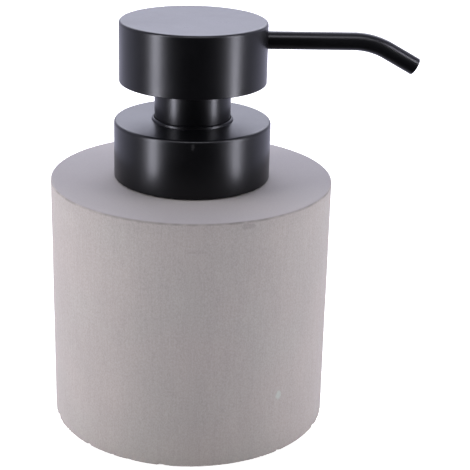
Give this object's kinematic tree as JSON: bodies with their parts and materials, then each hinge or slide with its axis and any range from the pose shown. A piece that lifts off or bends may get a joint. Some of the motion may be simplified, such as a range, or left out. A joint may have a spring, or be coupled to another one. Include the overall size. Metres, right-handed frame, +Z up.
{
  "type": "soap pump dispenser",
  "caption": "Round concrete soap dispenser with a screw-on black metal pump, a drum-shaped press head and a long spout bent down at its tip.",
  "frame": {"origin": "centre of the underside, on the pump's axis, at the level of the surface it stands on", "axes": "+Z up along the pump's axis, +X towards the spout's tip, +Y to the left of the spout seen from behind the head"},
  "size_m": [0.1098, 0.085, 0.1243],
  "materials": {
    "concrete": "matte",
    "black_metal": "satin",
    "black_plastic": "satin",
    "clear_plastic": "gloss",
    "white_plastic": "satin",
    "foam_rubber": "matte",
    "stainless_steel": "polished"
  },
  "bodies": {
    "vessel": {"concrete_vessel": "concrete", "neck_insert": "black_plastic", "base_pad": "foam_rubber"},
    "gasket": {"neck_gasket": "foam_rubber"},
    "pump_unit": {"pump_housing": "clear_plastic", "stem_guide": "black_plastic", "stem_wiper": "white_plastic", "collar_sleeve": "black_metal", "ball_retainer": "clear_plastic", "dip_tube": "clear_plastic", "return_spring": "stainless_steel"},
    "closure": {"closure_cover": "black_metal", "screw_ring": "black_plastic"},
    "check_ball": {"inlet_ball": "stainless_steel"},
    "plunger": {"pump_stem": "clear_plastic", "piston_seat": "clear_plastic"},
    "piston": {"piston": "white_plastic"},
    "head": {"head_shell": "black_metal", "head_core": "black_plastic", "spout_tube": "black_metal", "spout_liner": "white_plastic"}
  },
  "joints": [
    {"name": "pump_lift", "type": "slide", "parent": "vessel", "child": "gasket", "axis": [0, 0, 1], "range_m": [0, 0.085]},
    {"name": "thread_rise", "type": "slide", "parent": "gasket", "child": "pump_unit", "axis": [0, 0, 1], "range_m": [0, 0.0064]},
    {"name": "closure_turn", "type": "hinge", "parent": "pump_unit", "child": "closure", "pos_m": [0, 0, 0.085], "axis": [0, 0, 1], "range_deg": [0, 540]},
    {"name": "inlet_lift", "type": "slide", "parent": "pump_unit", "child": "check_ball", "axis": [0, 0, 1], "range_m": [0, 0.0015]},
    {"name": "head_press", "type": "slide", "parent": "pump_unit", "child": "plunger", "axis": [0, 0, -1], "range_m": [0, 0.01], "stiffness_N_per_m": 800, "springref_m": -0.01, "deforming": ["return_spring"]},
    {"name": "piston_shift", "type": "slide", "parent": "plunger", "child": "piston", "axis": [0, 0, 1], "range_m": [0, 0.0012]},
    {"name": "head_swivel", "type": "hinge", "parent": "plunger", "child": "head", "pos_m": [0, 0, 0.115], "axis": [0, 0, 1], "continuous": true}
  ],
  "couplings": [
    {"joint": "thread_rise", "follows": "closure_turn", "m_per_rad": 0.00066845}
  ]
}
